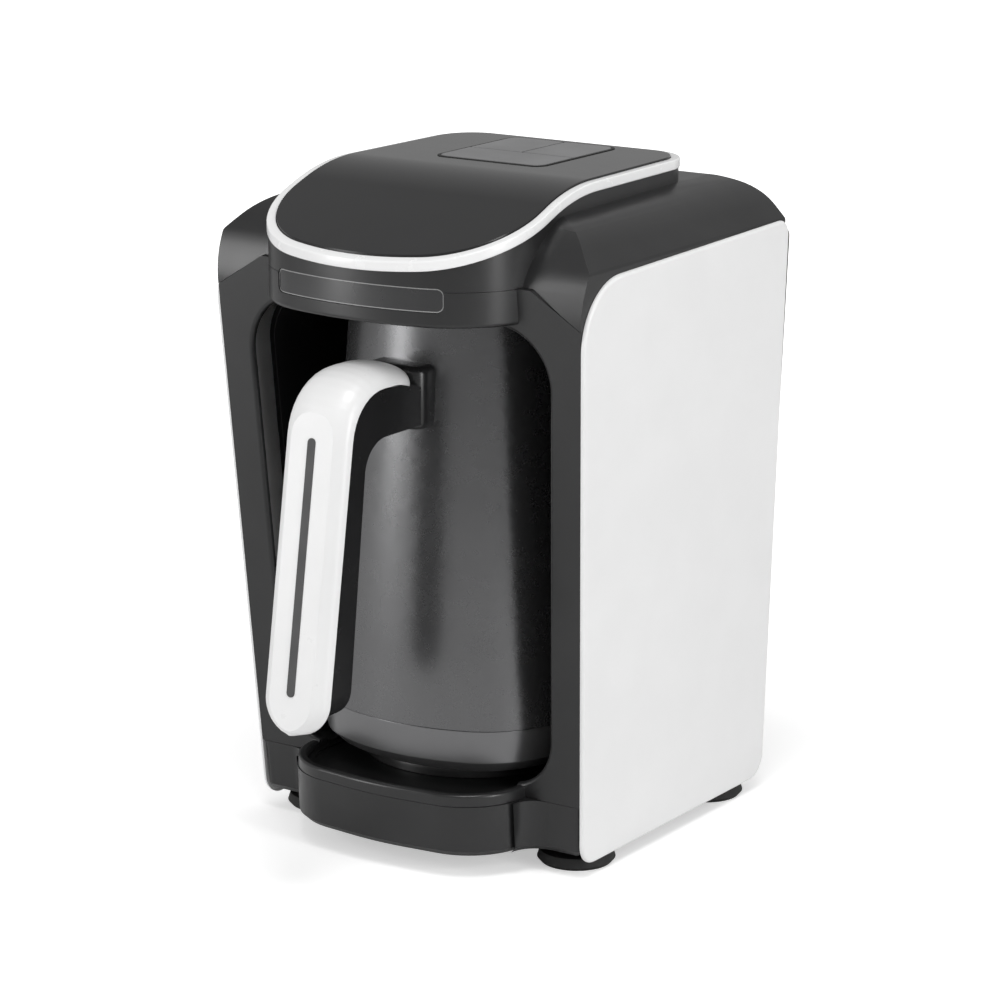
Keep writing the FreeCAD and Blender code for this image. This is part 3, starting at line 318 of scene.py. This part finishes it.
# Pot: a body of pressed steel with a dark satin coat, set in a foot band with a like finish.
# The socket under it is a dark moulding that takes the contact tower, painted darker as shade like the
# bay parts.
pot_coat = moulded("pot_coat", (0.15, 0.15, 0.153), 0.27, 2200.0, 0.003, 0.02, 0.0, 0.03)
pot_skin = pot_coat.node_tree.nodes["Principled BSDF"]
pot_skin.inputs["Metallic"].default_value = 0.85
pot_skin.inputs["Anisotropic"].default_value = 0.35
dress("pot_body", pot_coat, 0.2)
band_coat = moulded("band_coat", (0.20, 0.20, 0.204), 0.30, 2200.0, 0.003, 0.02, 0.0, 0.03)
band_coat.node_tree.nodes["Principled BSDF"].inputs["Metallic"].default_value = 0.7
dress("pot_band", band_coat, 0.3)
dress("pot_socket", bay_painted_shade)

# Handle: a white moulded cover with a rounded front and a flat face let into it, clipped over a
# dark core. The core's arm ends in a collar against the pot, and a dark strip fills the slot.
grip_white = moulded("grip_white", (0.80, 0.80, 0.80), 0.30, 1200.0, 0.003, 0.03, 0.0, 0.01)
grip_dark = moulded("grip_dark", (0.014, 0.014, 0.0145), 0.26, 1300.0, 0.006, 0.02)
strip_dark = moulded("strip_dark", (0.045, 0.045, 0.046), 0.5)
# The corners of the shell's middle line are set from the box of the solid cover.
cover_low, cover_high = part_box("handle_cover")
grip_half = cover_high.x
cover_foot = Vector((0, cover_low.y - 0.0011, cover_low.z - 0.0008))
cover_bend = Vector((0, cover_low.y + 0.0197, cover_high.z + 0.0012))
cover_arm = Vector((0, cover_low.y + 0.0530, cover_high.z + 0.0006))
cover_tip = Vector((0, cover_low.y + 0.0650, cover_high.z - 0.0030))
bend_radii = (0.026, 0.030)
route_step, ring_sides = 0.0012, 44
cover_depth, flat_cut, side_power = 0.0072, 0.0016, 0.86
foot_round, tip_round = 0.0130, 0.011
least_foot, least_tip, least_depth = 0.10, 0.62, 0.55
foot_rings = 4


def bent_path(corners, radii, steps=9):
    """Points along a bent line in the middle plane, each corner turned on its own radius."""
    points = [corners[0]]
    for before, here, after, radius in zip(corners, corners[1:], corners[2:], radii):
        into, out_of = (here - before).normalized(), (after - here).normalized()
        angle = into.angle(out_of)
        cut = radius * math.tan(angle / 2)
        start = here - into * cut
        inward = (out_of - into).normalized()
        centre = here + inward * (radius / math.cos(angle / 2))
        axis = into.cross(out_of).normalized()
        for i in range(steps + 1):
            points.append(centre + Matrix.Rotation(angle * i / steps, 3, axis) @ (start - centre))
    points.append(corners[-1])
    return points


def spread(points, gap):
    """Adds points so that no step along the line is longer than the gap."""
    line = [points[0]]
    for a, b in zip(points, points[1:]):
        count = max(1, math.ceil((b - a).length / gap))
        line += [a.lerp(b, i / count) for i in range(1, count + 1)]
    return line


def run_lengths(line):
    """The length along the line from its start to each of its points."""
    total, runs = 0.0, [0.0]
    for a, b in zip(line, line[1:]):
        total += (b - a).length
        runs.append(total)
    return runs


route = spread(bent_path([cover_foot, cover_bend, cover_arm, cover_tip], bend_radii), route_step)
runs = run_lengths(route)
shell = bmesh.new()
bmesh.ops.create_circle(shell, cap_ends=False, segments=ring_sides, radius=1.0)
shell.verts.ensure_lookup_table()
bmesh.ops.delete(shell, geom=[v for v in shell.verts if v.co.y > 0.001], context="VERTS")
section = [v.co.copy() for v in shell.verts]
across = Vector((1, 0, 0))


def end_width(run, total):
    """The share of full width at a point: round at the foot and rounded at the tip."""
    foot, tip = min(run / foot_round, 1.0), min((total - run) / tip_round, 1.0)
    foot_share = max(math.sqrt(1 - (1 - foot) ** 2), least_foot)
    tip_share = least_tip + (1 - least_tip) * math.sqrt(1 - (1 - tip) ** 2)
    return foot_share * tip_share


def lay_ring(verts, index):
    """Sets one half-round ring of the shell on its point of the route."""
    ahead = (route[min(index + 1, len(route) - 1)] - route[max(index - 1, 0)]).normalized()
    inward = ahead.cross(across).normalized()
    if inward.y < 0 and index < foot_rings:
        inward = -inward
    width = end_width(runs[index], runs[-1])
    depth = cover_depth * (least_depth + (1 - least_depth) * width)
    sink = cover_depth - depth
    for vert, flat in zip(verts, section):
        side = math.copysign(abs(flat.x) ** side_power, flat.x)
        vert.co = route[index] + across * (side * grip_half * width) \
            + inward * (sink + depth * (1 + flat.y))


ring_verts = list(shell.verts)
lay_ring(ring_verts, 0)
ring_edges = list(shell.edges)
for index in range(1, len(route)):
    grown = bmesh.ops.extrude_edge_only(shell, edges=ring_edges)["geom"]
    fresh = [g for g in grown if isinstance(g, bmesh.types.BMVert)]
    ring_edges = [g for g in grown if isinstance(g, bmesh.types.BMEdge)
                  and all(v in fresh for v in g.verts)]
    links_back = {v: next(e.other_vert(v) for e in v.link_edges if e.other_vert(v) in ring_verts)
                  for v in fresh}
    order = {old: i for i, old in enumerate(ring_verts)}
    ring_verts = sorted(fresh, key=lambda v: order[links_back[v]])
    lay_ring(ring_verts, index)
bmesh.ops.contextual_create(shell, geom=[e for e in shell.edges if e.is_boundary])
bmesh.ops.holes_fill(shell, edges=[e for e in shell.edges if e.is_boundary], sides=0)
front_out = (cover_bend - cover_foot).normalized().cross(across).normalized()
if front_out.y > 0:
    front_out = -front_out
bmesh.ops.bisect_plane(shell, geom=list(shell.verts) + list(shell.edges) + list(shell.faces),
                       plane_co=cover_foot - front_out * flat_cut, plane_no=front_out,
                       clear_outer=True)
bmesh.ops.holes_fill(shell, edges=[e for e in shell.edges if e.is_boundary], sides=0)
bmesh.ops.recalc_face_normals(shell, faces=list(shell.faces))
shell_data = bpy.data.meshes.new("handle_shell")
shell.to_mesh(shell_data)
shell.free()
handle_shell = bpy.data.objects.new("handle_shell", shell_data)
scene.collection.objects.link(handle_shell)
shell_data.materials.append(grip_white)
for face in shell_data.polygons:
    face.use_smooth = True
soft = handle_shell.modifiers.new("edges", "BEVEL")
soft.limit_method = "ANGLE"
soft.angle_limit = math.radians(17)
soft.width = 0.0007
soft.segments = 3
soft.harden_normals = True
calm = handle_shell.modifiers.new("shading", "WEIGHTED_NORMAL")
calm.keep_sharp = True
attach(handle_shell, "pot")
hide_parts("handle_cover")
dress("handle_cover", grip_white, 0.3)
dress("handle_core", grip_dark, 1.2)
pot_face_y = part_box("handle_bracket")[0].y
collar_size = (0.0262, 0.0150, 0.0235)
collar_corner, collar_edge = 0.0055, 0.0030
collar_place = (0, pot_face_y + 0.0022, 0.1775)
collar = bmesh.new()
bmesh.ops.create_cube(collar, size=1.0)
bmesh.ops.scale(collar, verts=collar.verts, vec=collar_size)
upright = [e for e in collar.edges if abs(e.verts[0].co.z - e.verts[1].co.z) > collar_size[2] / 2]
bmesh.ops.bevel(collar, geom=upright, affect="EDGES", offset=collar_corner, segments=6,
                profile=0.5, material=-1)
flat_ends = [e for e in collar.edges if abs(e.verts[0].co.z - e.verts[1].co.z) < 1e-6]
bmesh.ops.bevel(collar, geom=flat_ends, affect="EDGES", offset=collar_edge, segments=4,
                profile=0.5, material=-1)
bmesh.ops.translate(collar, verts=collar.verts, vec=collar_place)
bmesh.ops.recalc_face_normals(collar, faces=list(collar.faces))
collar_data = bpy.data.meshes.new("handle_collar")
collar.to_mesh(collar_data)
collar.free()
handle_collar = bpy.data.objects.new("handle_collar", collar_data)
scene.collection.objects.link(handle_collar)
collar_data.materials.append(grip_dark)
for face in collar_data.polygons:
    face.use_smooth = True
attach(handle_collar, "pot")
dress("handle_inlay", strip_dark, 0.3)

# Steel parts: the bracket that holds the handle to the pot, the heating plate under the pot, and
# the screws of the rear cover and the base plate. They are bare pressed or turned steel.
bare_steel = moulded("bare_steel", (0.55, 0.55, 0.56), 0.32, 1800.0, 0.004)
bare_steel.node_tree.nodes["Principled BSDF"].inputs["Metallic"].default_value = 1.0
for name in ("handle_bracket", "heater_plate", "rear_screws", "base_screws"):
    dress(name, bare_steel, 0.2)

# Rubber parts: the four feet that the machine stands on and the gland in the rear cover. All
# are moulded in soft black rubber.
rubber = moulded("rubber", (0.016, 0.016, 0.016), 0.75, 1300.0, 0.03, 0.08)
for name in ("foot_front_left", "foot_front_right", "foot_rear_left", "foot_rear_right", "cord_gland"):
    dress(name, rubber, 0.3)

# Circuit boards: green lacquered boards for the keys and the foam sensor in the head, and for
# the power supply in the base.
board_green = moulded("board_green", (0.02, 0.14, 0.05), 0.35, 700.0, 0.01, 0.06, 0.2, 0.3)
for name in ("control_board", "sensor_board", "power_board"):
    dress(name, board_green, 0.1)

# Small inner parts: the relay, fuse, filter, buzzer and key switches, and the frame that carries
# the switches. They are dark moulded plastic, soldered to the boards or clipped beside them.
inner_dark = moulded("inner_dark", (0.05, 0.05, 0.05), 0.5)
for name in ("relay", "thermal_fuse", "mains_filter", "buzzer", "key_switches", "button_carrier"):
    dress(name, inner_dark, 0.2)

# Wires and sensor lens: a sleeved bundle of wires between the boards, and the dark clear window
# that the foam sensor looks through.
wire_sleeve = moulded("wire_sleeve", (0.03, 0.03, 0.03), 0.6, 900.0, 0.05)
dress("wiring_harness", wire_sleeve, 0)
lens_clear = moulded("lens_clear", (0.03, 0.01, 0.01), 0.12, 400.0, 0.001, 0.02, 0.5)
dress("sensor_lens", lens_clear, 0.2)
